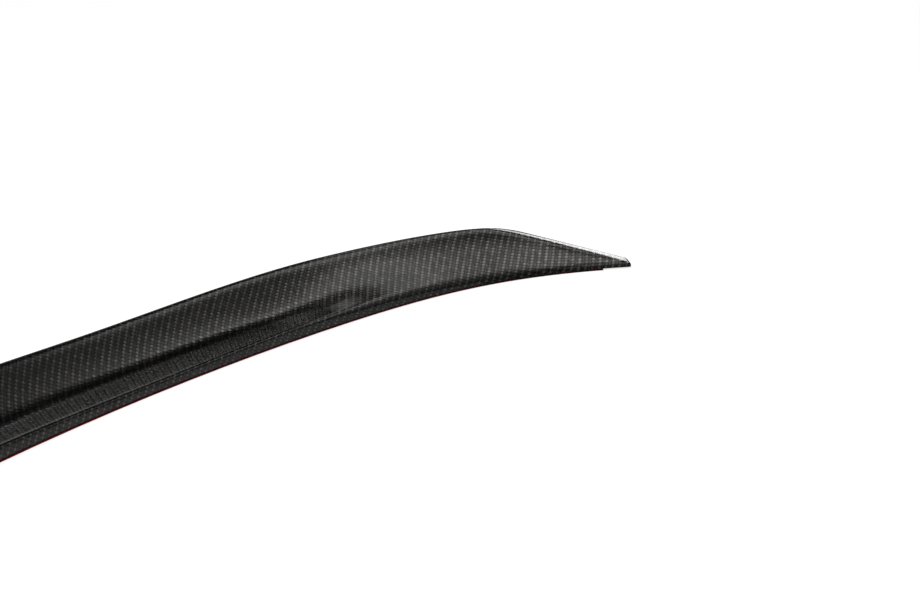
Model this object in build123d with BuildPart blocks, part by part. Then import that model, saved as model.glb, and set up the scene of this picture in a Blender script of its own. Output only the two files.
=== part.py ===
"""Boot lid lip spoiler: a hollow carbon shell with bonding tape and peel-off film under its flanges.

Frame: X runs across the car, Y to the rear, Z up. The origin is the middle of the front peel-off film's
underside, on the mid plane. Sizes are in millimetres.
"""

import os
from math import atan, cos, hypot, radians, sin, sqrt, tan

from build123d import *

# Plan of the leading edge: a gentle bow over the whole width and a curl at the tips
half_span = 565.0
bow = 61.0
tip_curl = 72.4
curl_power = 7

# Crest line: height over the bonding plane, and reach behind the leading edge
crest_height_mid = 38.6
crest_height_outer = 44.3
crest_rise_reach = 280.0
crest_height_tip = 5.0
crest_fall = 0.415
shoulder_softness = 7.0
chord_mid = 47.0
chord_loss_outer = 16.0
chord_loss_reach = 410.0
chord_tip = 4.9
chord_taper = 0.289
chord_softness = 2.5

# Leading edge wall
wall_height_mid = 6.0
wall_height_outer = 8.4
wall_rise_reach = 240.0
wall_height_tip = 4.0
wall_fall = 0.018
wall_softness = 1.0
wall_angle = 82.0
wall_edge_blend = 2.2
wall_edge_blend_outer = 4.5

# Scoop in front of the lip: a near-flat ledge that fades out towards the tips
ledge_angle = 7.0
lip_angle = 60.0
scoop_full_reach = 170.0
scoop_end_reach = 345.0
ramp_knee_share = 0.45
ramp_dip_share = 0.03
knee_blend = 8.0
knee_blend_outer = 12.0
lip_belly_share = 0.04

# Crest rounding and rear wall
crest_front_round = 2.4
crest_front_round_share = 0.35
crest_lip_blend = 7.0
crest_flat = 0.25
crest_widening = 5.5
crest_lean_outer = 15.5
crest_widening_start = 452.0
crest_widening_end = 500.0
crest_rear_round = 2.25
crest_rear_facets = 4
rear_lean = 6.0

# Laminate and the open channel between the bonding flanges
skin = 2.0
flange_thickness = 2.0
void_knee_blend = 5.0
void_roof_depth = 4.0
void_end_width = 21.7
front_flange = 13.0
rear_flange = 11.5
channel_end_width = 2.0

# Rounded nose at each tip
nose_length = 5.0
nose_shares = (0.5, 0.8, 0.95)

# Bonding tape and its peel-off film
tape_thickness = 1.1
liner_thickness = 0.1
tape_width = 8.0
edge_inset = 1.0
liner_overhang = 2.2
front_tape_end_margin = 1.7
rear_tape_end_gap = 5.6

# Loft stations on each side of the mid plane, closer together towards the tips
stations_per_side = 20
station_crowding = 1.4
strip_points = 14

# Share of a straight stretch that one blend may take up, and the straight left between two blends
blend_share = 0.45
blend_gap = 0.5

bond_z = tape_thickness + liner_thickness
front_strip_middle = edge_inset + 0.5 * tape_width
cut_margin = 1.0
reach_halvings = 40


def soft_min(a, b, width):
    """The smaller of two values, with a rounded hand-over of the given width."""
    return 0.5 * (a + b - sqrt((a - b) ** 2 + width**2))


def ease(t):
    """Smooth step from 0 to 1."""
    t = min(max(t, 0.0), 1.0)
    return t * t * (3.0 - 2.0 * t)


def leading_edge(x):
    """Y of the leading edge at x."""
    u = abs(x) / half_span
    return -front_strip_middle - bow * u**2 - tip_curl * u**curl_power


def sweep_angle(x):
    """Direction of the leading edge in plan, in radians from +X."""
    u = abs(x) / half_span
    slope = (2.0 * bow * u + curl_power * tip_curl * u ** (curl_power - 1)) / half_span
    return atan(-slope if x > 0 else slope)


def crest_height(x):
    """Height of the crest over the bonding plane."""
    rise = ease(abs(x) / crest_rise_reach)
    plateau = crest_height_mid + (crest_height_outer - crest_height_mid) * rise
    return soft_min(plateau, crest_height_tip + crest_fall * (half_span - abs(x)), shoulder_softness)


def crest_reach(x):
    """Distance of the crest's front behind the leading edge, before its top deepens towards the tips."""
    plateau = chord_mid - chord_loss_outer * (x / chord_loss_reach) ** 2
    return soft_min(plateau, chord_tip + chord_taper * (half_span - abs(x)), chord_softness)


def tip_share(x):
    """0 where the crest is narrow and level, 1 where it is deep and leans forward."""
    return ease((abs(x) - crest_widening_start) / (crest_widening_end - crest_widening_start))


def crest_depth(x):
    """Distance of the crest's top behind the leading edge."""
    return crest_reach(x) + crest_widening * tip_share(x)


def wall_height(x):
    """Height of the leading edge wall."""
    rise = ease(abs(x) / wall_rise_reach)
    plateau = wall_height_mid + (wall_height_outer - wall_height_mid) * rise
    return soft_min(plateau, wall_height_tip + wall_fall * (half_span - abs(x)), wall_softness)


def scoop_share(x):
    """1 where the scoop is full, 0 where the face is one straight ramp."""
    return 1.0 - ease((abs(x) - scoop_full_reach) / (scoop_end_reach - scoop_full_reach))


def along(start, end, distance):
    """Point at a distance from start on the way to end, or at the blend share if that is nearer."""
    gap = hypot(end[0] - start[0], end[1] - start[1])
    share = min(distance / gap, blend_share)
    return (start[0] + share * (end[0] - start[0]), start[1] + share * (end[1] - start[1]))


def hollow(start, end, share, dip):
    """Point at a share of the way up from start to end, set into the face by a dip share of that way."""
    run, rise = end[0] - start[0], end[1] - start[1]
    return (start[0] + share * run + dip * rise, start[1] + share * rise - dip * run)


def meet(p, p_angle, q, q_angle):
    """Where the line through p and the line through q cross; angles are in degrees."""
    a, b = radians(p_angle), radians(q_angle)
    span = (q[0] - p[0]) * sin(b) - (q[1] - p[1]) * cos(b)
    t = span / sin(b - a)
    return (p[0] + t * cos(a), p[1] + t * sin(a))


def slim_base(x):
    """Distance of the rear wall's foot behind the leading edge, before the crest's top deepens."""
    return crest_reach(x) + crest_flat + crest_rear_round - crest_height(x) * tan(radians(rear_lean))


def base_reach(x):
    """Distance of the rear wall's foot behind the leading edge."""
    return slim_base(x) + crest_widening * tip_share(x)


def reach_of_base(width):
    """Distance from the mid plane out to which the slim base is at least this wide."""
    inner, outer = 0.0, half_span
    for _ in range(reach_halvings):
        middle = 0.5 * (inner + outer)
        if slim_base(middle) > width:
            inner = middle
        else:
            outer = middle
    return inner


def corners(x):
    """Section corners at x: wall foot, wall edge, knee, lip belly, lip top, crest, rear corner, rear foot."""
    top = bond_z + crest_height(x)
    reach = crest_reach(x)
    depth = crest_depth(x)
    height = wall_height(x)
    foot = (0.0, bond_z)
    edge = (height / tan(radians(wall_angle)), bond_z + height)
    lip = (reach - min(crest_front_round, crest_front_round_share * reach), top)
    scooped = meet(edge, ledge_angle, lip, lip_angle)
    ramp = hollow(edge, lip, ramp_knee_share, ramp_dip_share)
    share = scoop_share(x)
    knee = (ramp[0] + share * (scooped[0] - ramp[0]), ramp[1] + share * (scooped[1] - ramp[1]))
    belly = hollow(knee, lip, 0.5, lip_belly_share)
    lean = tan(radians(crest_lean_outer)) * tip_share(x)
    crest = (depth, top + lean * (depth - lip[0]))
    rear_reach = depth + crest_flat + crest_rear_round
    rear = (rear_reach, top + lean * (rear_reach - lip[0]))
    heel = (base_reach(x), bond_z)
    return foot, edge, knee, belly, lip, crest, rear, heel


def facets(start, corner, end, count):
    """Points along a corner's rounding, for a number of flat facets."""
    points = []
    for i in range(count + 1):
        t = i / count
        points.append(tuple((1 - t) ** 2 * a + 2 * t * (1 - t) * b + t**2 * c for a, b, c in zip(start, corner, end)))
    return points


def below(upper, foot):
    """Point on the line from upper through foot, one cut margin under the foot."""
    share = cut_margin / (upper[1] - foot[1])
    return (foot[0] + share * (foot[0] - upper[0]), foot[1] - cut_margin)


def outer_section(x, scale=1.0):
    """Closed outline of the shell at x, reaching one cut margin under the bonding plane."""
    foot, edge, knee, belly, lip, crest, rear, heel = corners(x)
    low_foot = below(edge, foot)
    low_heel = below(rear, heel)
    ramp_share = 1.0 - scoop_share(x)
    edge_blend = wall_edge_blend + (wall_edge_blend_outer - wall_edge_blend) * ramp_share
    knee_reach = knee_blend + (knee_blend_outer - knee_blend) * ramp_share
    lip_start = along(knee, belly, knee_reach)
    lip_end = along(lip, belly, crest_lip_blend)
    middle = 0.5 * (foot[0] + heel[0])

    def place(point):
        return (middle + scale * (point[0] - middle), bond_z + scale * (point[1] - bond_z))

    wall_end = place(along(edge, foot, edge_blend))
    ledge_start = place(along(edge, knee, edge_blend))
    ledge_end = place(along(knee, edge, knee_reach))
    belly_start = place(along(lip_start, belly, blend_gap))
    belly_end = place(along(lip_end, belly, blend_gap))
    crest_end = hollow(crest, rear, crest_flat / (crest_flat + crest_rear_round), 0.0)
    rear_start = along(rear, heel, crest_rear_round)
    Line(place(low_foot), wall_end)
    Bezier(wall_end, place(edge), ledge_start)
    Line(ledge_start, ledge_end)
    Bezier(ledge_end, place(knee), place(lip_start))
    Line(place(lip_start), belly_start)
    Bezier(belly_start, place(belly), belly_end)
    Line(belly_end, place(lip_end))
    Bezier(place(lip_end), place(lip), place(crest))
    Line(place(crest), place(crest_end))
    Polyline(*[place(point) for point in facets(crest_end, rear, rear_start, crest_rear_facets)])
    Line(place(rear_start), place(low_heel))
    Line(place(low_heel), place(low_foot))


def inset_corner(before, corner, after, depth):
    """Corner moved inwards so that both of its sides move in by depth."""
    a = hypot(corner[0] - before[0], corner[1] - before[1])
    b = hypot(after[0] - corner[0], after[1] - corner[1])
    n1 = ((corner[1] - before[1]) / a, -(corner[0] - before[0]) / a)
    n2 = ((after[1] - corner[1]) / b, -(after[0] - corner[0]) / b)
    share = depth / (1.0 + n1[0] * n2[0] + n1[1] * n2[1])
    return (corner[0] + share * (n1[0] + n2[0]), corner[1] + share * (n1[1] + n2[1]))


def void_section(x):
    """Closed outline of the hollow inside the shell at x."""
    foot, edge, knee, _, lip, _, rear, heel = corners(x)
    roof = lip[1] - void_roof_depth
    inner_edge = inset_corner(foot, edge, knee, skin)
    inner_knee = inset_corner(edge, knee, lip, skin)
    inner_foot = (foot[0] + skin, bond_z + flange_thickness)
    inner_heel = (heel[0] - skin, bond_z + flange_thickness)
    roof_front = (inner_knee[0] + (roof - inner_knee[1]) * (lip[0] - knee[0]) / (lip[1] - knee[1]), roof)
    roof_rear = (rear[0] - skin - (rear[1] - roof) * (rear[0] - heel[0]) / (rear[1] - heel[1]), roof)
    knee_start = along(inner_knee, inner_edge, void_knee_blend)
    knee_end = along(inner_knee, roof_front, void_knee_blend)
    inner_belly = hollow(knee_end, roof_front, 0.5, 0.5 * lip_belly_share)
    Line(inner_foot, inner_edge)
    Line(inner_edge, knee_start)
    Bezier(knee_start, inner_knee, knee_end)
    Line(knee_end, inner_belly)
    Line(inner_belly, roof_front)
    Line(roof_front, roof_rear)
    Line(roof_rear, inner_heel)
    Line(inner_heel, inner_foot)


def station_plane(x, beyond=0.0):
    """Upright plane across the leading edge at x, with its own x to the rear and its own y up."""
    angle = sweep_angle(x)
    origin = (x + beyond * cos(angle), leading_edge(x) + beyond * sin(angle), 0.0)
    return Plane(origin=origin, x_dir=(-sin(angle), cos(angle), 0.0), z_dir=(cos(angle), sin(angle), 0.0))


def stations(reach):
    """Station places from one end of a reach to the other."""
    count = stations_per_side
    side = [reach * (1.0 - (1.0 - i / count) ** station_crowding) for i in range(1, count + 1)]
    return [-x for x in reversed(side)] + [0.0] + side


def plan_point(x, distance):
    """Point in plan at a distance behind the leading edge."""
    angle = sweep_angle(x)
    return (x - distance * sin(angle), leading_edge(x) + distance * cos(angle))


def strip_outline(reach, front, rear):
    """Closed plan outline between two lines behind the leading edge, each a function of x."""
    steps = [reach * i / strip_points for i in range(-strip_points, strip_points + 1)]
    front_line = Spline([plan_point(x, front(x)) for x in steps])
    rear_line = Spline([plan_point(x, rear(x)) for x in steps])
    Line(front_line @ 0, rear_line @ 0)
    Line(front_line @ 1, rear_line @ 1)


void_reach = reach_of_base(void_end_width)
channel_reach = reach_of_base(front_flange + rear_flange + channel_end_width)
front_tape_reach = reach_of_base(edge_inset + tape_width + front_tape_end_margin)
rear_tape_reach = reach_of_base(2.0 * (edge_inset + tape_width) + rear_tape_end_gap)

with BuildPart() as spoiler_shell:
    for x in stations(half_span):
        with BuildSketch(station_plane(x)):
            with BuildLine():
                outer_section(x)
            make_face()
    loft()
    for side in (-1, 1):
        for share in (0.0, *nose_shares):
            with BuildSketch(station_plane(side * half_span, side * share * nose_length)):
                with BuildLine():
                    outer_section(half_span, sqrt(1.0 - share**2))
                make_face()
        loft()
    split(bisect_by=Plane.XY.offset(bond_z), keep=Keep.TOP)
    for x in stations(void_reach):
        with BuildSketch(station_plane(x)):
            with BuildLine():
                void_section(x)
            make_face()
    loft(mode=Mode.SUBTRACT)
    with BuildSketch(Plane.XY.offset(bond_z - cut_margin)):
        with BuildLine():
            strip_outline(channel_reach, lambda x: front_flange, lambda x: base_reach(x) - rear_flange)
        make_face()
    extrude(amount=flange_thickness + 2.0 * cut_margin, mode=Mode.SUBTRACT)
spoiler_shell.part.label = "spoiler_shell"


def front_strip_outline(overhang=0.0):
    """Plan outline of the strip under the front flange, wider on both sides by an overhang."""
    strip_outline(
        front_tape_reach,
        lambda x: edge_inset - overhang,
        lambda x: edge_inset + tape_width + overhang,
    )


def rear_strip_outline(overhang=0.0):
    """Plan outline of the strip under the rear flange, wider on both sides by an overhang."""
    strip_outline(
        rear_tape_reach,
        lambda x: base_reach(x) - edge_inset - tape_width - overhang,
        lambda x: base_reach(x) - edge_inset + overhang,
    )


with BuildPart() as front_tape:
    with BuildSketch(Plane.XY.offset(liner_thickness)):
        with BuildLine():
            front_strip_outline()
        make_face()
    extrude(amount=tape_thickness)
front_tape.part.label = "front_tape"

with BuildPart() as rear_tape:
    with BuildSketch(Plane.XY.offset(liner_thickness)):
        with BuildLine():
            rear_strip_outline()
        make_face()
    extrude(amount=tape_thickness)
rear_tape.part.label = "rear_tape"

with BuildPart() as front_liner:
    with BuildSketch(Plane.XY):
        with BuildLine():
            front_strip_outline(liner_overhang)
        make_face()
    extrude(amount=liner_thickness)
front_liner.part.label = "front_liner"

with BuildPart() as rear_liner:
    with BuildSketch(Plane.XY):
        with BuildLine():
            rear_strip_outline(liner_overhang)
        make_face()
    extrude(amount=liner_thickness)
rear_liner.part.label = "rear_liner"

os.makedirs("parts", exist_ok=True)
for piece in (spoiler_shell, front_tape, rear_tape, front_liner, rear_liner):
    export_step(piece.part, f"parts/{piece.part.label}.step")
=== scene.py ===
"""Looks of a boot lid lip spoiler in glossy carbon twill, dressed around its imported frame.

The shell is modelled again as one dense closed mesh whose skin carries cloth coordinates, so that the twill
follows the leading edge. The bonding tape and its peel-off film keep their own solids and get finishes.
"""

import logging
import math
from abc import ABC, abstractmethod
from dataclasses import dataclass, field
from enum import Enum
from functools import cached_property
from typing import Any, ClassVar, Sequence, Union

import bmesh
import bpy
from mathutils import Matrix, Vector


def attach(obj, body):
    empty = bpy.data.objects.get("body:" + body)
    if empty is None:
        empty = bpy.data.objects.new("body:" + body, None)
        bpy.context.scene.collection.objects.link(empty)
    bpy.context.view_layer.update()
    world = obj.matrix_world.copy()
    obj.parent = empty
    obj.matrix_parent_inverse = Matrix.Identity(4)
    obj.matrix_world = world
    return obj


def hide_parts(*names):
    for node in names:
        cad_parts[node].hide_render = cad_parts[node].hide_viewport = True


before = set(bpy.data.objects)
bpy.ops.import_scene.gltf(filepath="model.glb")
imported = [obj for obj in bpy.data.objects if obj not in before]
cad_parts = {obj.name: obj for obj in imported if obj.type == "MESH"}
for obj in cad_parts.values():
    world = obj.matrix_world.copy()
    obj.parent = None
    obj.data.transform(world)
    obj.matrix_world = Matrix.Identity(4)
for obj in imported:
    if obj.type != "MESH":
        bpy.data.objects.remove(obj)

log = logging.getLogger("spoiler")

MM = 0.001
MERGE_PER_MM = 10000.0
CLOTH = "cloth"
Flat = tuple[float, float]
Place = tuple[float, float, float]
Corner = tuple[Place, Flat]
Colour = tuple[float, float, float]
Term = Union["Signal", float]


class Face(Enum):
    """Material slots of the shell: the lacquered outside and the bare laminate inside."""

    SKIN = 0
    INSIDE = 1


class Signal:
    """A shader socket that takes part in Python expressions."""

    def __init__(self, bench: "ShaderBench", socket: bpy.types.NodeSocket) -> None:
        """Hold a socket and the bench that its nodes stand on."""
        self.bench = bench
        self.socket = socket

    def __add__(self, other: Term) -> "Signal":
        """Sum of two values."""
        return self.bench.math("ADD", self, other)

    __radd__ = __add__

    def __sub__(self, other: Term) -> "Signal":
        """Difference of two values."""
        return self.bench.math("SUBTRACT", self, other)

    def __rsub__(self, other: Term) -> "Signal":
        """A number less this value."""
        return self.bench.math("SUBTRACT", other, self)

    def __mul__(self, other: Term) -> "Signal":
        """Product of two values."""
        return self.bench.math("MULTIPLY", self, other)

    __rmul__ = __mul__

    def __truediv__(self, other: Term) -> "Signal":
        """Quotient of two values."""
        return self.bench.math("DIVIDE", self, other)

    def __rtruediv__(self, other: Term) -> "Signal":
        """A number over this value."""
        return self.bench.math("DIVIDE", other, self)

    def __pow__(self, exponent: Term) -> "Signal":
        """Power of this value."""
        return self.bench.math("POWER", self, exponent)

    def __lt__(self, limit: Term) -> "Signal":
        """1 where this value is under a limit, 0 elsewhere."""
        return self.bench.math("LESS_THAN", self, limit)

    def floor(self) -> "Signal":
        """Whole part, rounded down."""
        return self.bench.math("FLOOR", self)

    def wrap(self, period: float) -> "Signal":
        """Remainder in a period, never negative."""
        return self.bench.math("FLOORED_MODULO", self, period)

    def step(self, low: float, high: float) -> "Signal":
        """Smooth step over this value.

        Args:
            low: Where the step leaves 0.
            high: Where the step reaches 1.

        Returns:
            The stepped value.
        """
        settings = {"interpolation_type": "SMOOTHSTEP"}
        inputs = {"Value": self, "From Min": low, "From Max": high}
        return self.bench.out(self.bench.node("ShaderNodeMapRange", settings, inputs))

    def window(self, low: float, high: float, soft: float) -> "Signal":
        """1 between two limits, 0 outside, with soft borders."""
        return self.step(low - soft, low + soft) * (1.0 - self.step(high - soft, high + soft))

    def above(self, floor: float) -> "Signal":
        """A share of 0 to 1 as a value that goes from a floor to 1."""
        return floor + (1.0 - floor) * self

    def around(self, middle: Term, spread: float) -> "Signal":
        """Noise of 0 to 1 as a value that swings about a middle over the given spread."""
        return middle + spread * (self - 0.5)


class ShaderBench:
    """Lays nodes into one node tree."""

    def __init__(self, tree: bpy.types.NodeTree) -> None:
        """Start on an emptied tree."""
        self.tree = tree
        tree.nodes.clear()

    def node(self, kind: str, settings: dict[str, Any], inputs: dict[Union[str, int], Any]) -> bpy.types.Node:
        """Add one node.

        Args:
            kind: Blender's type name of the node.
            settings: Attributes of the node, set before its sockets.
            inputs: Values or signals, by the socket's name or number.

        Returns:
            The new node.
        """
        node = self.tree.nodes.new(kind)
        for name, value in settings.items():
            setattr(node, name, value)
        for name, value in inputs.items():
            socket = node.inputs[name]
            if isinstance(value, Signal):
                self.tree.links.new(value.socket, socket)
            else:
                socket.default_value = value
        return node

    def out(self, node: bpy.types.Node, name: Union[str, int] = 0) -> Signal:
        """Signal from one of a node's outputs."""
        return Signal(self, node.outputs[name])

    def math(self, operation: str, *terms: Term) -> Signal:
        """Signal from one Math node."""
        return self.out(self.node("ShaderNodeMath", {"operation": operation}, dict(enumerate(terms))))

    def pick(self, share: Term, first: Term, second: Term) -> Signal:
        """Value that goes from first to second as share goes from 0 to 1."""
        return self.out(self.node("ShaderNodeMix", {"data_type": "FLOAT"}, {0: share, 2: first, 3: second}))

    def tint(self, share: Term, first: Colour, second: Colour) -> Signal:
        """Colour that goes from first to second as share goes from 0 to 1."""
        inputs = {0: share, 6: rgba(first), 7: rgba(second)}
        return self.out(self.node("ShaderNodeMix", {"data_type": "RGBA"}, inputs), 2)

    def split(self, vector: Signal) -> tuple[Signal, Signal, Signal]:
        """The three parts of a vector."""
        node = self.node("ShaderNodeSeparateXYZ", {}, {0: vector})
        return self.out(node, 0), self.out(node, 1), self.out(node, 2)

    def join(self, x: Term, y: Term, z: Term) -> Signal:
        """Vector from its three parts."""
        return self.out(self.node("ShaderNodeCombineXYZ", {}, {0: x, 1: y, 2: z}))

    def coordinates(self, kind: str) -> Signal:
        """Texture coordinates of one kind."""
        return self.out(self.node("ShaderNodeTexCoord", {}, {}), kind)

    def rays(self) -> tuple[Signal, Signal]:
        """Tell apart the rays that arrive.

        Returns:
            1 for the camera's own rays, and 1 for rays that a glossy or clear surface has sent on.
        """
        path = self.node("ShaderNodeLightPath", {}, {})
        glossy = self.out(path, "Is Glossy Ray")
        clear = self.out(path, "Is Transmission Ray")
        return self.out(path, "Is Camera Ray"), self.math("MAXIMUM", glossy, clear)

    def noise(self, vector: Signal, scale: float, detail: float = 2.0, output: str = "Fac") -> Signal:
        """Soft noise over a vector."""
        inputs = {"Vector": vector, "Scale": scale, "Detail": detail}
        return self.out(self.node("ShaderNodeTexNoise", {}, inputs), output)

    def bump(self, height: Signal, depth: float) -> Signal:
        """Normal from a height of 0 to 1, whose full rise is depth metres."""
        return self.out(self.node("ShaderNodeBump", {}, {"Height": height, "Distance": depth}))


def rgba(colour: Colour) -> tuple[float, float, float, float]:
    """A colour with full alpha."""
    return (*colour, 1.0)


class Finish(ABC):
    """A finish that becomes one material with a Principled shader."""

    name: ClassVar[str]

    @abstractmethod
    def dress(self, bench: ShaderBench) -> dict[str, Any]:
        """Lay the nodes of the finish.

        Args:
            bench: Where the nodes go.

        Returns:
            Values and signals, by socket.
        """

    def material(self) -> bpy.types.Material:
        """Make the finished material.

        Returns:
            The new material.
        """
        material = bpy.data.materials.new(self.name)
        material.use_nodes = True
        bench = ShaderBench(material.node_tree)
        shader = bench.node("ShaderNodeBsdfPrincipled", {}, self.dress(bench))
        bench.node("ShaderNodeOutputMaterial", {}, {"Surface": bench.out(shader)})
        return material


@dataclass(frozen=True)
class TwillWeave:
    """Two-by-two twill in cloth coordinates, where one unit is the width of a tow."""

    repeat: float = 4.0
    float_length: float = 2.0
    cross_shift: float = 1.0
    wander: float = 0.55
    wander_scale: float = 0.035
    fibres_across: float = 26.0
    fibre_stretch: float = 0.6

    def lay(self, bench: ShaderBench) -> dict[str, Signal]:
        """Lay the weave's nodes.

        Args:
            bench: Where the nodes go.

        Returns:
            Signals by name: lengthwise, crown, dive, tone and fibre.
        """
        settings = {"attribute_name": CLOTH, "attribute_type": "GEOMETRY"}
        cloth = bench.out(bench.node("ShaderNodeAttribute", settings, {}), "Vector")
        a, b, _ = bench.split(cloth)
        drift = bench.noise(cloth, self.wander_scale, detail=1.0, output="Color")
        drift_a, drift_b, _ = bench.split(drift)
        a = drift_a.around(a, self.wander)
        b = drift_b.around(b, self.wander)
        row = b.floor()
        column = a.floor()
        way = a - row
        cross_way = column - b
        run = way.wrap(self.repeat)
        cross_run = cross_way.wrap(self.repeat) - self.cross_shift
        lengthwise = run < self.float_length
        along = bench.pick(lengthwise, cross_run, run) / self.float_length
        across = bench.pick(lengthwise, a - column, b - row)
        tow = bench.pick(lengthwise, column, row)
        turns = (cross_way / self.repeat).floor(), (way / self.repeat).floor()
        number = bench.pick(lengthwise, *turns)
        tone = bench.node("ShaderNodeTexWhiteNoise", {}, {"Vector": bench.join(tow, number, lengthwise)})
        fibre_a = a * bench.pick(lengthwise, self.fibres_across, self.fibre_stretch)
        fibre_b = b * bench.pick(lengthwise, self.fibre_stretch, self.fibres_across)
        fibre_place = bench.join(fibre_a, fibre_b, lengthwise)
        return {
            "lengthwise": lengthwise,
            "crown": 1.0 - (2.0 * across - 1.0) ** 2.0,
            "dive": 1.0 - (2.0 * along - 1.0) ** 2.0,
            "tone": bench.out(tone, "Value"),
            "fibre": bench.noise(fibre_place, scale=1.0, detail=1.0),
        }


@dataclass(frozen=True)
class CarbonGloss(Finish):
    """Black twill under a clear, smooth lacquer."""

    name: ClassVar[str] = "carbon_gloss"
    weave: TwillWeave = TwillWeave()
    lit_lengthwise_level: float = 0.25
    shaded_chordwise_level: float = 0.115
    metal_share: float = 1.0
    resin: Colour = (0.0, 0.0, 0.0)
    warmth: Colour = (1.0, 0.975, 0.93)
    seam_level: float = 0.3
    seam_width: float = 0.35
    float_end_level: float = 0.25
    float_peak: float = 1.6
    tone_spread: float = 0.7
    fibre_spread: float = 0.5
    roughness: float = 0.24
    fibre_roughness: float = 0.12
    float_end_height: float = 0.4
    relief: float = 0.00008
    lacquer_weight: float = 1.0
    lacquer_index: float = 1.4
    lacquer_roughness: float = 0.02

    def dress(self, bench: ShaderBench) -> dict[str, Any]:
        """Lay the nodes of the finish.

        Args:
            bench: Where the nodes go.

        Returns:
            Values and signals, by socket.
        """
        weave = self.weave.lay(bench)
        # Lengthwise tows are painted lighter than chordwise ones: a painted sheen, as if the light fell on
        # one tow family and left the other in shade.
        level = bench.pick(weave["lengthwise"], self.shaded_chordwise_level, self.lit_lengthwise_level)
        seam = weave["crown"].step(0.0, self.seam_width).above(self.seam_level)
        # Painted highlight: each float is painted brightest at its middle and darker towards its ends.
        glint = (weave["dive"] ** self.float_peak).above(self.float_end_level)
        tone = weave["tone"].around(1.0, self.tone_spread)
        fibre = weave["fibre"].around(1.0, self.fibre_spread)
        shade = level * seam * glint * tone * fibre
        height = weave["crown"] * weave["dive"].above(self.float_end_height)
        return {
            "Base Color": bench.tint(shade, self.resin, self.warmth),
            "Metallic": self.metal_share,
            "Roughness": weave["fibre"].around(self.roughness, self.fibre_roughness),
            "Normal": bench.bump(height, self.relief),
            "Coat Weight": self.lacquer_weight,
            "Coat Roughness": self.lacquer_roughness,
            "Coat IOR": self.lacquer_index,
        }


@dataclass(frozen=True)
class BareLaminate(Finish):
    """Uncoated twill with dull resin, as it comes off the bag side of a mould."""

    name: ClassVar[str] = "bare_laminate"
    weave: TwillWeave = TwillWeave()
    resin: Colour = (0.016, 0.016, 0.017)
    tow: Colour = (0.05, 0.05, 0.051)
    shaded_chordwise_share: float = 0.5
    fibre_floor: float = 0.5
    roughness: float = 0.55
    pool_scale: float = 90.0
    pool_detail: float = 3.0
    pool_roughness: float = 0.3
    pool_height: float = 0.6
    relief: float = 0.0002

    def dress(self, bench: ShaderBench) -> dict[str, Any]:
        """Lay the nodes of the finish.

        Args:
            bench: Where the nodes go.

        Returns:
            Values and signals, by socket.
        """
        weave = self.weave.lay(bench)
        pools = bench.noise(bench.coordinates("Object"), self.pool_scale, self.pool_detail)
        # The tows are painted from the resin colour at their edges and ends up to the tow colour at their
        # crowns: partly resin between the tows, partly painted shade of the weave's relief. Chordwise tows
        # are painted darker, a painted shade of one tow family.
        height = weave["crown"] * weave["dive"]
        share = height * weave["lengthwise"].above(self.shaded_chordwise_share)
        share = share * (self.fibre_floor + weave["fibre"])
        return {
            "Base Color": bench.tint(share, self.resin, self.tow),
            "Roughness": pools.around(self.roughness, self.pool_roughness),
            "Normal": bench.bump(height + self.pool_height * pools, self.relief),
        }


@dataclass(frozen=True)
class TapeFoam(Finish):
    """Dark grey acrylic foam with fine open cells."""

    name: ClassVar[str] = "tape_foam"
    colour: Colour = (0.03, 0.03, 0.032)
    pore_shade_colour: Colour = (0.014, 0.014, 0.015)
    cell_scale: float = 2600.0
    cell_wall_start: float = 0.1
    cell_wall_full: float = 0.6
    cloud_scale: float = 160.0
    cloud_floor: float = 0.6
    cloud_gain: float = 0.6
    cloud_roughness: float = 0.1
    roughness: float = 0.85
    relief: float = 0.00012

    def dress(self, bench: ShaderBench) -> dict[str, Any]:
        """Lay the nodes of the finish.

        Args:
            bench: Where the nodes go.

        Returns:
            Values and signals, by socket.
        """
        place = bench.coordinates("Object")
        cells = bench.node("ShaderNodeTexVoronoi", {}, {"Vector": place, "Scale": self.cell_scale})
        # The pits of the cells are painted darker than the raised walls between them: painted shade in the
        # pores.
        wall = bench.out(cells, "Distance").step(self.cell_wall_start, self.cell_wall_full)
        cloud = bench.noise(place, self.cloud_scale)
        share = wall * (self.cloud_floor + self.cloud_gain * cloud)
        return {
            "Base Color": bench.tint(share, self.pore_shade_colour, self.colour),
            "Roughness": cloud.around(self.roughness, self.cloud_roughness),
            "Normal": bench.bump(wall, self.relief),
        }


@dataclass(frozen=True)
class LinerFilm(Finish):
    """Smooth red peel-off film with faint drawing lines and a slight ripple."""

    name: ClassVar[str] = "liner_film"
    colour: Colour = (0.5, 0.015, 0.022)
    deep_colour: Colour = (0.34, 0.008, 0.014)
    line_scale_along: float = 6.0
    line_scale_across: float = 900.0
    line_share: float = 0.6
    line_roughness: float = 0.15
    roughness: float = 0.28
    ripple_scale: float = 55.0
    relief: float = 0.0003

    def dress(self, bench: ShaderBench) -> dict[str, Any]:
        """Lay the nodes of the finish.

        Args:
            bench: Where the nodes go.

        Returns:
            Values and signals, by socket.
        """
        place = bench.coordinates("Object")
        x, y, _ = bench.split(place)
        drawn = bench.join(x * self.line_scale_along, y * self.line_scale_across, 0.0)
        lines = bench.noise(drawn, scale=1.0)
        ripple = bench.noise(place, self.ripple_scale)
        # Deeper red along the drawing lines, which the film has itself, and in the ripple's dips, a painted
        # shade of the ripple.
        share = self.line_share * lines + (1.0 - self.line_share) * ripple
        return {
            "Base Color": bench.tint(share, self.deep_colour, self.colour),
            "Roughness": lines.around(self.roughness, self.line_roughness),
            "Normal": bench.bump(ripple, self.relief),
        }


def mix(first: float, second: float, share: float) -> float:
    """Value at a share of the way from first to second."""
    return first + share * (second - first)


def soft_min(a: float, b: float, width: float) -> float:
    """The smaller of two values, with a rounded hand-over of the given width."""
    return 0.5 * (a + b - math.sqrt((a - b) ** 2 + width**2))


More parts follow.
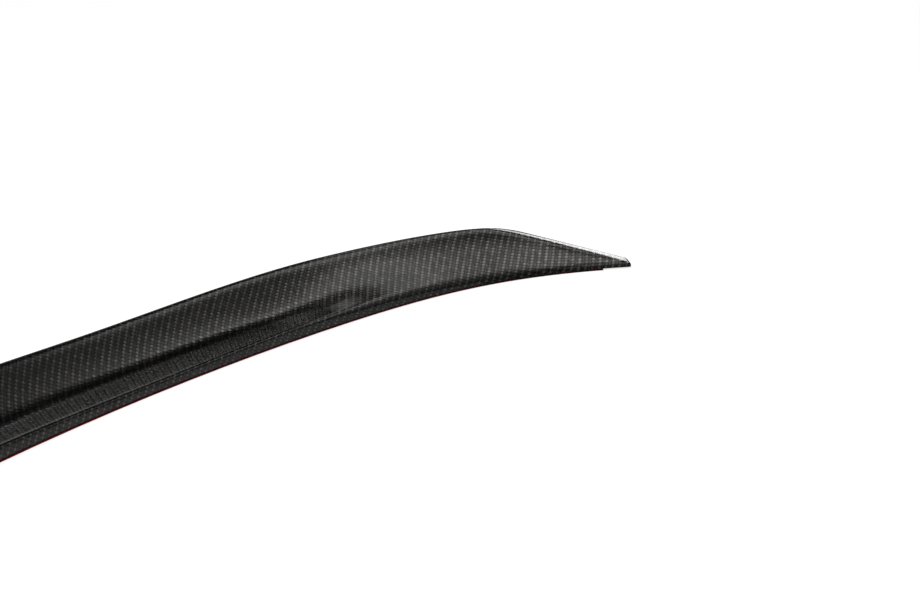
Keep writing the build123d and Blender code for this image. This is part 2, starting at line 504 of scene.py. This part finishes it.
def ease(t: float) -> float:
    """Smooth step from 0 to 1."""
    t = min(max(t, 0.0), 1.0)
    return t * t * (3.0 - 2.0 * t)


def between(start: Flat, end: Flat, share: float) -> Flat:
    """Point at a share of the way from start to end."""
    return mix(start[0], end[0], share), mix(start[1], end[1], share)


def straight(start: Flat, end: Flat, pieces: int) -> list[Flat]:
    """Points along a straight stretch, without its start."""
    return [between(start, end, i / pieces) for i in range(1, pieces + 1)]


def bent(start: Flat, corner: Flat, end: Flat, pieces: int) -> list[Flat]:
    """Points along a quadratic curve whose end tangents meet in a corner, without its start."""
    shares = [i / pieces for i in range(1, pieces + 1)]
    return [between(between(start, corner, t), between(corner, end, t), t) for t in shares]


def hollow(start: Flat, end: Flat, share: float, dip: float) -> Flat:
    """Point at a share of the way up from start to end, set into the face by a dip share of that way."""
    point = between(start, end, share)
    return point[0] + dip * (end[1] - start[1]), point[1] - dip * (end[0] - start[0])


def inset_corner(before: Flat, corner: Flat, after: Flat, depth: float) -> Flat:
    """Corner of a clockwise outline moved inwards.

    Args:
        before: The corner's neighbour ahead of it.
        corner: The corner.
        after: The corner's neighbour past it.
        depth: How far both sides move in.

    Returns:
        The moved corner.
    """
    a = math.dist(before, corner)
    b = math.dist(corner, after)
    n1 = ((corner[1] - before[1]) / a, -(corner[0] - before[0]) / a)
    n2 = ((after[1] - corner[1]) / b, -(after[0] - corner[0]) / b)
    share = depth / (1.0 + n1[0] * n2[0] + n1[1] * n2[1])
    return corner[0] + share * (n1[0] + n2[0]), corner[1] + share * (n1[1] + n2[1])


@dataclass(frozen=True)
class Fineness:
    """How many steps draw each stretch of a section, outside and in the hollow."""

    wall: int = 3
    edge: int = 10
    ledge: int = 8
    knee: int = 14
    lip: int = 12
    crest_front: int = 10
    crest_rear: int = 8
    rear_wall: int = 10
    void_ledge: int = 3
    void_knee: int = 6
    void_lip_half: int = 2
    void_rear: int = 6


@dataclass(frozen=True)
class LipForm:
    """Lines and sections of the lip in millimetres: distance behind the leading edge, and height."""

    half_span: float = 565.0
    bow: float = 61.0
    tip_curl: float = 72.4
    curl_power: int = 7
    crest_height_mid: float = 38.6
    crest_height_outer: float = 44.3
    crest_rise_reach: float = 280.0
    crest_height_tip: float = 5.0
    crest_fall: float = 0.415
    shoulder_softness: float = 7.0
    chord_mid: float = 47.0
    chord_loss_outer: float = 16.0
    chord_loss_reach: float = 410.0
    chord_tip: float = 4.9
    chord_taper: float = 0.289
    chord_softness: float = 2.5
    wall_height_mid: float = 6.0
    wall_height_outer: float = 8.4
    wall_rise_reach: float = 240.0
    wall_height_tip: float = 4.0
    wall_fall: float = 0.018
    wall_softness: float = 1.0
    wall_angle: float = 82.0
    wall_edge_blend: float = 2.2
    wall_edge_blend_outer: float = 4.5
    ledge_angle: float = 7.0
    lip_angle: float = 60.0
    scoop_full_reach: float = 170.0
    scoop_end_reach: float = 345.0
    ramp_knee_share: float = 0.45
    ramp_dip_share: float = 0.03
    knee_blend: float = 8.0
    knee_blend_outer: float = 12.0
    lip_belly_share: float = 0.04
    crest_front_round: float = 2.4
    crest_front_round_share: float = 0.35
    crest_lip_blend: float = 7.0
    crest_flat: float = 0.25
    crest_widening: float = 5.5
    crest_lean_outer: float = 15.5
    crest_widening_start: float = 452.0
    crest_widening_end: float = 500.0
    crest_rear_round: float = 2.25
    rear_lean: float = 6.0
    skin: float = 2.0
    flange_thickness: float = 2.0
    void_knee_blend: float = 5.0
    void_roof_depth: float = 4.0
    void_end_width: float = 21.7
    front_flange: float = 13.0
    rear_flange: float = 11.5
    channel_end_width: float = 2.0
    nose_length: float = 5.0
    bond_z: float = 1.2
    front_strip_middle: float = 5.0
    blend_share: float = 0.45
    reach_halvings: int = 40
    steps: Fineness = Fineness()

    def leading_edge(self, x: float) -> float:
        """Y of the leading edge at x."""
        u = abs(x) / self.half_span
        return -self.front_strip_middle - self.bow * u**2 - self.tip_curl * u**self.curl_power

    def sweep_angle(self, x: float) -> float:
        """Direction of the leading edge in plan.

        Args:
            x: Place along the span.

        Returns:
            The angle from +X in radians.
        """
        u = abs(x) / self.half_span
        slope = 2.0 * self.bow * u + self.curl_power * self.tip_curl * u ** (self.curl_power - 1)
        return math.atan2(-math.copysign(slope, x), self.half_span)

    def rise(self, x: float, tip: float, slope: float) -> float:
        """Straight line from a value at the tips up towards the mid plane."""
        return tip + slope * (self.half_span - abs(x))

    def crest_height(self, x: float) -> float:
        """Height of the crest over the bonding plane."""
        level = mix(self.crest_height_mid, self.crest_height_outer, ease(abs(x) / self.crest_rise_reach))
        return soft_min(level, self.rise(x, self.crest_height_tip, self.crest_fall), self.shoulder_softness)

    def crest_reach(self, x: float) -> float:
        """Distance of the crest's front behind the leading edge, before its top deepens towards the tips."""
        level = self.chord_mid - self.chord_loss_outer * (x / self.chord_loss_reach) ** 2
        return soft_min(level, self.rise(x, self.chord_tip, self.chord_taper), self.chord_softness)

    def tip_share(self, x: float) -> float:
        """0 where the crest is narrow and level, 1 where it is deep and leans forward."""
        beyond = abs(x) - self.crest_widening_start
        return ease(beyond / (self.crest_widening_end - self.crest_widening_start))

    def wall_height(self, x: float) -> float:
        """Height of the leading edge wall over the bonding plane."""
        level = mix(self.wall_height_mid, self.wall_height_outer, ease(abs(x) / self.wall_rise_reach))
        return soft_min(level, self.rise(x, self.wall_height_tip, self.wall_fall), self.wall_softness)

    def scoop_share(self, x: float) -> float:
        """1 where the scoop is full, 0 where the face is one straight ramp."""
        return 1.0 - ease((abs(x) - self.scoop_full_reach) / (self.scoop_end_reach - self.scoop_full_reach))

    def slim_base(self, x: float) -> float:
        """Distance of the rear wall's foot behind the leading edge, before the crest's top deepens."""
        top = self.crest_reach(x) + self.crest_flat + self.crest_rear_round
        return top - self.crest_height(x) * math.tan(math.radians(self.rear_lean))

    def base_reach(self, x: float) -> float:
        """Distance of the rear wall's foot behind the leading edge."""
        return self.slim_base(x) + self.crest_widening * self.tip_share(x)

    def reach_of_base(self, width: float) -> float:
        """Find how far out the slim base keeps a width.

        Args:
            width: The least width of the base.

        Returns:
            The distance from the mid plane.
        """
        inner, outer = 0.0, self.half_span
        for _ in range(self.reach_halvings):
            middle = 0.5 * (inner + outer)
            inner, outer = (middle, outer) if self.slim_base(middle) > width else (inner, middle)
        return inner

    @property
    def void_reach(self) -> float:
        """Where the hollow ends, from the mid plane."""
        return self.reach_of_base(self.void_end_width)

    @property
    def channel_reach(self) -> float:
        """Where the open channel between the flanges ends, from the mid plane."""
        return self.reach_of_base(self.front_flange + self.rear_flange + self.channel_end_width)

    def along(self, start: Flat, end: Flat, distance: float) -> Flat:
        """Point at a distance from start on the way to end, or at the blend share if that is nearer."""
        return between(start, end, min(distance / math.dist(start, end), self.blend_share))

    def corners(self, x: float) -> dict[str, Flat]:
        """Work out the corners of a section.

        Args:
            x: Place along the span.

        Returns:
            The corners by name.
        """
        top = self.bond_z + self.crest_height(x)
        reach = self.crest_reach(x)
        tip = self.tip_share(x)
        depth = reach + self.crest_widening * tip
        height = self.wall_height(x)
        edge = (height / math.tan(math.radians(self.wall_angle)), self.bond_z + height)
        lip = (reach - min(self.crest_front_round, self.crest_front_round_share * reach), top)
        a, b = math.radians(self.ledge_angle), math.radians(self.lip_angle)
        t = ((lip[0] - edge[0]) * math.sin(b) - (lip[1] - edge[1]) * math.cos(b)) / math.sin(b - a)
        scooped = (edge[0] + t * math.cos(a), edge[1] + t * math.sin(a))
        ramp = hollow(edge, lip, self.ramp_knee_share, self.ramp_dip_share)
        knee = between(ramp, scooped, self.scoop_share(x))
        lean = math.tan(math.radians(self.crest_lean_outer)) * tip
        rear = depth + self.crest_flat + self.crest_rear_round
        return {
            "foot": (0.0, self.bond_z),
            "edge": edge,
            "knee": knee,
            "belly": hollow(knee, lip, 0.5, self.lip_belly_share),
            "lip": lip,
            "crest": (depth, top + lean * (depth - lip[0])),
            "rear": (rear, top + lean * (rear - lip[0])),
            "heel": (self.base_reach(x), self.bond_z),
        }

    def skin_outline(self, x: float) -> list[Flat]:
        """Draw the outside of a section.

        Args:
            x: Place along the span.

        Returns:
            Points from the wall's foot over the crest to the rear wall's foot.
        """
        c = self.corners(x)
        outer_share = 1.0 - self.scoop_share(x)
        edge_blend = mix(self.wall_edge_blend, self.wall_edge_blend_outer, outer_share)
        knee_blend = mix(self.knee_blend, self.knee_blend_outer, outer_share)
        flat_share = self.crest_flat / (self.crest_flat + self.crest_rear_round)
        wall_end = self.along(c["edge"], c["foot"], edge_blend)
        ledge_start = self.along(c["edge"], c["knee"], edge_blend)
        ledge_end = self.along(c["knee"], c["edge"], knee_blend)
        lip_start = self.along(c["knee"], c["belly"], knee_blend)
        lip_end = self.along(c["lip"], c["belly"], self.crest_lip_blend)
        crest_end = between(c["crest"], c["rear"], flat_share)
        rear_start = self.along(c["rear"], c["heel"], self.crest_rear_round)
        points = [c["foot"]]
        points += straight(c["foot"], wall_end, self.steps.wall)
        points += bent(wall_end, c["edge"], ledge_start, self.steps.edge)
        points += straight(ledge_start, ledge_end, self.steps.ledge)
        points += bent(ledge_end, c["knee"], lip_start, self.steps.knee)
        points += bent(lip_start, c["belly"], lip_end, self.steps.lip)
        points += bent(lip_end, c["lip"], c["crest"], self.steps.crest_front)
        points.append(crest_end)
        points += bent(crest_end, c["rear"], rear_start, self.steps.crest_rear)
        points += straight(rear_start, c["heel"], self.steps.rear_wall)
        return points

    def void_outline(self, x: float) -> list[Flat]:
        """Draw the roof of the hollow.

        Args:
            x: Place along the span.

        Returns:
            Points from the roof's front foot to its rear foot.
        """
        c = self.corners(x)
        roof = c["lip"][1] - self.void_roof_depth
        lean = (c["rear"][0] - c["heel"][0]) / (c["rear"][1] - c["heel"][1])
        edge = inset_corner(c["foot"], c["edge"], c["knee"], self.skin)
        knee = inset_corner(c["edge"], c["knee"], c["lip"], self.skin)
        foot = (self.skin, self.bond_z + self.flange_thickness)
        heel = (c["heel"][0] - self.skin, self.bond_z + self.flange_thickness)
        slope = (c["lip"][0] - c["knee"][0]) / (c["lip"][1] - c["knee"][1])
        roof_front = (knee[0] + (roof - knee[1]) * slope, roof)
        roof_rear = (c["rear"][0] - self.skin - (c["rear"][1] - roof) * lean, roof)
        knee_start = self.along(knee, edge, self.void_knee_blend)
        knee_end = self.along(knee, roof_front, self.void_knee_blend)
        belly = hollow(knee_end, roof_front, 0.5, 0.5 * self.lip_belly_share)
        points = [foot, edge]
        points += straight(edge, knee_start, self.steps.void_ledge)
        points += bent(knee_start, knee, knee_end, self.steps.void_knee)
        points += straight(knee_end, belly, self.steps.void_lip_half)
        points += straight(belly, roof_front, self.steps.void_lip_half)
        points.append(roof_rear)
        points += straight(roof_rear, heel, self.steps.void_rear)
        return points

    def flange_edges(self, x: float) -> Flat:
        """Place the inner edges of the two flanges, drawn together past the end of the channel.

        Args:
            x: Place along the span.

        Returns:
            Distances of the front and the rear flange's edge behind the leading edge.
        """
        width = self.base_reach(min(abs(x), self.channel_reach))
        share = self.base_reach(x) / width
        return share * self.front_flange, share * (width - self.rear_flange)


@dataclass
class Patchwork:
    """Grows one mesh out of grids of points that share their borders."""

    places: list[Place] = field(default_factory=list)
    numbers: dict[tuple[int, int, int], int] = field(default_factory=dict)
    faces: list[list[int]] = field(default_factory=list)
    cloth: list[Flat] = field(default_factory=list)
    slots: list[int] = field(default_factory=list)

    def point(self, place: Place) -> int:
        """Find a point met before, or add it.

        Args:
            place: Where it is, in millimetres.

        Returns:
            The point's number.
        """
        key = tuple(round(c * MERGE_PER_MM) for c in place)
        if key not in self.numbers:
            self.numbers[key] = len(self.places)
            self.places.append(tuple(c * MM for c in place))
        return self.numbers[key]

    def facet(self, corners: Sequence[Corner], slot: Face) -> None:
        """Add one face, unless it has shrunk to a line.

        Args:
            corners: The corners' places and cloth coordinates, in order.
            slot: The face's material.
        """
        numbers = [self.point(place) for place, _ in corners]
        if len(set(numbers)) == len(numbers):
            self.faces.append(numbers)
            self.cloth += [cloth for _, cloth in corners]
            self.slots.append(slot.value)

    def grid(self, rows: Sequence[Sequence[Corner]], slot: Face) -> None:
        """Add the four-sided faces between neighbouring rows.

        Args:
            rows: Rows of corners, all of one length.
            slot: The faces' material.
        """
        for low, high in zip(rows, rows[1:]):
            for corners in zip(low, high, high[1:], low[1:]):
                self.facet(corners, slot)

    def mesh(self, name: str) -> bpy.types.Mesh:
        """Close the patches into one mesh.

        Args:
            name: Name of the mesh.

        Returns:
            The mesh, with outward faces and its cloth coordinates.
        """
        mesh = bpy.data.meshes.new(name)
        mesh.from_pydata(self.places, [], self.faces)
        cloth = mesh.attributes.new(CLOTH, "FLOAT_VECTOR", "CORNER")
        cloth.data.foreach_set("vector", [c for a, b in self.cloth for c in (a, b, 0.0)])
        mesh.polygons.foreach_set("material_index", self.slots)
        work = bmesh.new()
        work.from_mesh(mesh)
        bmesh.ops.recalc_face_normals(work, faces=work.faces)
        work.to_mesh(mesh)
        open_edges = sum(1 for edge in work.edges if not edge.is_manifold)
        work.free()
        log.info("%s: %d faces, %d open edges", name, len(mesh.polygons), open_edges)
        return mesh


@dataclass(frozen=True)
class ClothLay:
    """How the twill lies on the shell: the spacing of its tows, and its turn against the leading edge."""

    form: LipForm
    upright_spacing: float = 2.02
    lengthwise_spacing: float = 2.35
    mid_turn: float = 5.0
    inner_turn: float = 9.0
    inner_reach: float = 220.0
    sweep_share: float = 0.8
    line_share: float = 0.8

    def turn(self, x: float) -> float:
        """Angle of the lengthwise tows to the leading edge at x, in radians."""
        inner = math.copysign(self.inner_turn * ease(abs(x) / self.inner_reach), x)
        return math.radians(self.mid_turn + inner) + self.sweep_share * self.form.sweep_angle(x)

    def line(self, x: float) -> float:
        """How far up the face runs the line along which the cloth is laid."""
        return self.line_share * math.hypot(self.form.crest_reach(x), self.form.crest_height(x))

    def step(self, x: float, run: float, rise: float) -> Flat:
        """Turn a short way on the skin into cloth coordinates.

        Args:
            x: Place along the span.
            run: Way along the leading edge, in millimetres.
            rise: Way up the section, in millimetres.

        Returns:
            The way in tow widths.
        """
        turn = self.turn(x)
        a = run * math.cos(turn) - rise * math.sin(turn)
        b = rise * math.cos(turn) + run * math.sin(turn)
        return a / self.upright_spacing, b / self.lengthwise_spacing

    def marks(self, stations: Sequence[float]) -> dict[float, Flat]:
        """Cloth coordinates where the laying line meets each section.

        Args:
            stations: Places of the sections, in order.

        Returns:
            The coordinates by place.
        """
        here = (0.0, 0.0)
        found = {stations[0]: here}
        for start, end in zip(stations, stations[1:]):
            middle = 0.5 * (start + end)
            run = (end - start) / math.cos(self.form.sweep_angle(middle))
            way = self.step(middle, run, self.line(end) - self.line(start))
            here = (here[0] + way[0], here[1] + way[1])
            found[end] = here
        return found


@dataclass
class SpoilerShell:
    """The moulded shell: lacquered skin, bonding flanges and the hollow between them."""

    form: LipForm
    lay: ClothLay
    gloss: CarbonGloss
    laminate: BareLaminate
    name: str = "carbon_shell"
    node: str = "spoiler_shell"
    slot: str = "carbon_gloss"
    channel_steps: int = 120
    void_steps: int = 18
    tip_steps: int = 26
    nose_shares: tuple[float, ...] = (0.0, 0.15, 0.3, 0.45, 0.6, 0.72, 0.82, 0.9, 0.95)
    smooth_angle: float = 40.0

    def stations(self) -> list[float]:
        """Places of the sections, with the ends of the channel and the hollow among them.

        Returns:
            The places from tip to tip.
        """
        marks = (0.0, self.form.channel_reach, self.form.void_reach, self.form.half_span)
        counts = (self.channel_steps, self.void_steps, self.tip_steps)
        side = [0.0]
        for start, end, count in zip(marks, marks[1:], counts):
            side += [start + (end - start) * i / count for i in range(1, count + 1)]
        return [-x for x in reversed(side[1:])] + side

    @cached_property
    def marks(self) -> dict[float, Flat]:
        """Cloth coordinates on the laying line, by section."""
        return self.lay.marks(self.stations())

    def row(self, x: float, outline: Sequence[Flat], beyond: float = 0.0) -> list[Corner]:
        """Corners along one section.

        Args:
            x: Place along the span.
            outline: Distances behind the leading edge, and heights.
            beyond: How far the section lies past x along the leading edge.

        Returns:
            Each point's place in millimetres and its cloth coordinates.
        """
        angle = self.form.sweep_angle(x)
        mark = self.marks[x]
        start = (x + beyond * math.cos(angle), self.form.leading_edge(x) + beyond * math.sin(angle))
        corners = []
        rise = outline[0][0]
        last = outline[0]
        for point in outline:
            rise += math.dist(last, point)
            last = point
            place = (start[0] - point[0] * math.sin(angle), start[1] + point[0] * math.cos(angle), point[1])
            way = self.lay.step(x, beyond, rise - self.lay.line(x))
            corners.append((place, (mark[0] + way[0], mark[1] + way[1])))
        return corners

    def floor_outline(self, x: float, height: float, inset: float) -> list[Flat]:
        """Flat line across the section at a height, with points at the flanges' inner edges."""
        edges = self.form.flange_edges(x)
        return [(d, height) for d in (inset, *edges, self.form.base_reach(x) - inset)]

    def nose(self, side: int, share: float) -> tuple[list[Corner], list[Corner]]:
        """Draw one shrunken section past a tip.

        Args:
            side: -1 or 1, for the tip on that side.
            share: How far along the nose the section stands.

        Returns:
            The corners of its skin and of its underside.
        """
        form = self.form
        scale = math.sqrt(1.0 - share**2)
        x = side * form.half_span
        centre = (0.5 * form.base_reach(x), form.bond_z)
        beyond = side * share * form.nose_length
        outlines = form.skin_outline(x), self.floor_outline(x, form.bond_z, 0.0)
        skin, base = ([between(centre, point, scale) for point in outline] for outline in outlines)
        return self.row(x, skin, beyond), self.row(x, base, beyond)

    def close_tips(self, work: Patchwork) -> None:
        """Round off both tips.

        Args:
            work: The mesh that grows.
        """
        for side in (-1, 1):
            sections = [self.nose(side, share) for share in self.nose_shares]
            work.grid([skin for skin, _ in sections], Face.SKIN)
            work.grid([base for _, base in sections], Face.INSIDE)
            skin, base = sections[-1]
            work.facet(skin + base[2:0:-1], Face.SKIN)

    def line_hollow(self, work: Patchwork, stations: Sequence[float]) -> None:
        """Add the flanges, the channel between them and the hollow above.

        Args:
            work: The mesh that grows.
            stations: Places of the sections, in order.
        """
        form = self.form
        ceiling = form.bond_z + form.flange_thickness
        hollow_run = [x for x in stations if abs(x) <= form.void_reach]
        open_run = [x for x in stations if abs(x) <= form.channel_reach]
        under = {x: self.row(x, self.floor_outline(x, form.bond_z, 0.0)) for x in stations}
        inner = {x: self.row(x, self.floor_outline(x, ceiling, form.skin)) for x in hollow_run}
        roof = {x: self.row(x, form.void_outline(x)) for x in hollow_run}
        work.grid([roof[x] for x in hollow_run], Face.INSIDE)
        for rows, reach in ((under, stations), (inner, hollow_run)):
            work.grid([rows[x][:2] for x in reach], Face.INSIDE)
            work.grid([rows[x][2:] for x in reach], Face.INSIDE)
            for closed in (reach[: reach.index(open_run[0]) + 1], reach[reach.index(open_run[-1]) :]):
                work.grid([rows[x][1:3] for x in closed], Face.INSIDE)
        for i in (1, 2):
            work.grid([[under[x][i], inner[x][i]] for x in open_run], Face.INSIDE)
        for x in (open_run[0], open_run[-1]):
            work.facet((under[x][1], under[x][2], inner[x][2], inner[x][1]), Face.INSIDE)
        for x in (hollow_run[0], hollow_run[-1]):
            work.facet(roof[x] + inner[x][2:0:-1], Face.INSIDE)

    def mesh(self) -> bpy.types.Mesh:
        """Model the whole shell.

        Returns:
            The closed mesh.
        """
        work = Patchwork()
        stations = self.stations()
        work.grid([self.row(x, self.form.skin_outline(x)) for x in stations], Face.SKIN)
        self.close_tips(work)
        self.line_hollow(work, stations)
        return work.mesh(self.name)

    def build(self) -> bpy.types.Object:
        """Model the shell, dress it and put it in its solid's place.

        Returns:
            The shell's object.
        """
        mesh = self.mesh()
        shell = bpy.data.objects.new(self.name, mesh)
        bpy.context.scene.collection.objects.link(shell)
        mesh.materials.append(self.gloss.material())
        mesh.materials.append(self.laminate.material())
        mesh.polygons.foreach_set("use_smooth", [True] * len(mesh.polygons))
        mesh.set_sharp_from_angle(angle=math.radians(self.smooth_angle))
        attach(shell, "root")
        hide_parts(self.node)
        return shell


@dataclass
class BondingStrips:
    """Foam tape under the flanges and its peel-off film, which keep their own solids."""

    foam: TapeFoam
    film: LinerFilm
    tapes: tuple[str, ...] = ("front_tape", "rear_tape")
    liners: tuple[str, ...] = ("front_liner", "rear_liner")

    def dress(self) -> list[bpy.types.Object]:
        """Give the strips their finishes.

        Returns:
            The dressed objects.
        """
        dressed = []
        for names, material in ((self.tapes, self.foam.material()), (self.liners, self.film.material())):
            for name in names:
                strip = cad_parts[name]
                strip.data.materials.clear()
                strip.data.materials.append(material)
                dressed.append(strip)
        return dressed


@dataclass(frozen=True)
class Panel:
    """A soft-edged light panel in the studio's surroundings, with limits and softness in degrees."""

    heading: Flat
    elevation: Flat
    soft: Flat
    level: float

    def glow(self, heading: Signal, elevation: Signal) -> Signal:
        """Light of the panel in each direction."""
        across = heading.window(*self.heading, self.soft[0])
        return self.level * (across * elevation.window(*self.elevation, self.soft[1]))


@dataclass(frozen=True)
class Softbox:
    """A rectangular lamp that the camera never sees: it shades matt surfaces or glints on glossy ones."""

    name: str
    place: Place
    aim: Place
    size: Flat
    power: float
    spread: float = 180.0
    glints: bool = False

    def hang(self) -> None:
        """Build the lamp and turn it to its aim."""
        data = bpy.data.lights.new(self.name, "AREA")
        data.shape = "RECTANGLE"
        data.size, data.size_y = self.size
        data.energy = self.power
        data.spread = math.radians(self.spread)
        lamp = bpy.data.objects.new(self.name, data)
        back = Vector(self.place) - Vector(self.aim)
        lamp.matrix_world = Matrix.Translation(self.place) @ back.to_track_quat("Z", "Y").to_matrix().to_4x4()
        lamp.visible_camera = False
        lamp.visible_diffuse = not self.glints
        lamp.visible_glossy = self.glints
        bpy.context.scene.collection.objects.link(lamp)


@dataclass
class Studio:
    """Camera, floor, lamps and surroundings."""

    camera_place: Place = (-1.2769, -0.8390, 0.3830)
    azimuth: float = -64.83
    elevation: float = 12.0
    lens: float = 88.04
    sensor: float = 36.0
    floor_reach: float = 40.0
    floor_level: float = 0.8
    floor_glow: float = 1.6
    floor_glow_share: float = 0.5
    floor_gloss_level: float = 0.2
    camera_white: float = 1.0
    plain_level: float = 0.6
    dim_level: float = 0.006
    panels: tuple[Panel, ...] = (
        Panel(heading=(-82.0, -20.0), elevation=(8.0, 85.0), soft=(4.0, 5.0), level=0.14),
        Panel(heading=(-36.0, -21.0), elevation=(27.0, 85.0), soft=(4.0, 9.0), level=0.7),
        Panel(heading=(-82.0, -36.0), elevation=(36.0, 85.0), soft=(4.0, 10.0), level=0.78),
        Panel(heading=(14.0, 75.0), elevation=(13.0, 26.0), soft=(3.0, 3.0), level=0.2),
        Panel(heading=(24.0, 48.0), elevation=(31.0, 48.0), soft=(3.0, 3.0), level=1.7),
        Panel(heading=(95.0, 175.0), elevation=(12.0, 70.0), soft=(8.0, 8.0), level=0.5),
        Panel(heading=(-175.0, -95.0), elevation=(12.0, 70.0), soft=(8.0, 8.0), level=0.5),
    )
    lamps: tuple[Softbox, ...] = (
        Softbox("overhead", place=(0.1, 1.2, 1.5), aim=(0.0, 0.0, 0.0), size=(1.6, 0.35), power=18.0),
        Softbox(
            "tip_light", place=(0.925, -0.037, 0.228), aim=(0.53, -0.1, 0.02),
            size=(0.2, 0.09), power=0.0024, spread=18.0, glints=True,
        ),
        Softbox(
            "scoop_end_light", place=(0.546, -0.03, 0.205), aim=(0.31, -0.03, 0.02),
            size=(0.16, 0.085), power=0.00028, spread=20.0, glints=True,
        ),
        Softbox(
            "ledge_light", place=(0.433, 0.033, 0.228), aim=(0.24, -0.045, 0.012),
            size=(0.12, 0.07), power=0.00045, spread=22.0, glints=True,
        ),
    )

    def build_camera(self) -> None:
        """Set up the photograph's viewing angle."""
        data = bpy.data.cameras.new("camera")
        data.lens = self.lens
        data.sensor_width = self.sensor
        data.sensor_fit = "HORIZONTAL"
        camera = bpy.data.objects.new("camera", data)
        a, e = math.radians(self.azimuth), math.radians(self.elevation)
        back = Vector((math.sin(a) * math.cos(e), -math.cos(a) * math.cos(e), math.sin(e)))
        right = Vector((math.cos(a), math.sin(a), 0.0))
        turn = Matrix((right, back.cross(right), back)).transposed().to_4x4()
        camera.matrix_world = Matrix.Translation(self.camera_place) @ turn
        bpy.context.scene.collection.objects.link(camera)
        bpy.context.scene.camera = camera

    def build_floor(self) -> None:
        """Lay a pale floor that is white to the camera and keeps a soft shadow."""
        reach = self.floor_reach
        mesh = bpy.data.meshes.new("floor")
        corners = [(-reach, -reach, 0.0), (reach, -reach, 0.0), (reach, reach, 0.0), (-reach, reach, 0.0)]
        mesh.from_pydata(corners, [], [(0, 1, 2, 3)])
        floor = bpy.data.objects.new("floor", mesh)
        bpy.context.scene.collection.objects.link(floor)
        material = bpy.data.materials.new("pale_floor")
        material.use_nodes = True
        bench = ShaderBench(material.node_tree)
        seen, mirrored = bench.rays()
        matte = bench.node("ShaderNodeBsdfDiffuse", {}, {"Color": rgba((self.floor_level,) * 3)})
        strength = seen * self.floor_glow + mirrored * self.floor_gloss_level
        glow = bench.node("ShaderNodeEmission", {}, {"Strength": strength})
        share = self.floor_glow_share * seen + mirrored
        mixed = bench.node("ShaderNodeMixShader", {}, {0: share, 1: bench.out(matte), 2: bench.out(glow)})
        bench.node("ShaderNodeOutputMaterial", {}, {"Surface": bench.out(mixed)})
        mesh.materials.append(material)

    def build_world(self) -> None:
        """Light the surroundings: white to the camera, plain for matt surfaces, panels for glossy ones."""
        world = bpy.data.worlds.new("studio")
        world.use_nodes = True
        bpy.context.scene.world = world
        bench = ShaderBench(world.node_tree)
        x, y, z = bench.split(bench.coordinates("Generated"))
        degree = math.degrees(1.0)
        heading = bench.math("ARCTAN2", y, x) * degree
        elevation = bench.math("ARCSINE", z) * degree
        panel_level = self.dim_level
        for panel in self.panels:
            panel_level = panel_level + panel.glow(heading, elevation)
        seen, mirrored = bench.rays()
        level = bench.pick(mirrored, self.plain_level, panel_level)
        level = bench.pick(seen, level, self.camera_white)
        shader = bench.node("ShaderNodeBackground", {}, {"Strength": level})
        bench.node("ShaderNodeOutputWorld", {}, {"Surface": bench.out(shader)})

    def build(self) -> None:
        """Set up everything around the object."""
        self.build_camera()
        self.build_floor()
        self.build_world()
        for lamp in self.lamps:
            lamp.hang()
        bpy.context.scene.view_settings.view_transform = "Standard"


def main() -> None:
    """Build the object and its studio."""
    logging.basicConfig(level=logging.INFO, format="%(name)s: %(message)s")
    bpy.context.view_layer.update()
    form = LipForm()
    shell = SpoilerShell(form, ClothLay(form), CarbonGloss(), BareLaminate()).build()
    log.info("shell %s stands for its solid", shell.name)
    for strip in BondingStrips(TapeFoam(), LinerFilm()).dress():
        log.info("strip %s is dressed", strip.name)
    Studio().build()


if __name__ == "__main__":
    main()
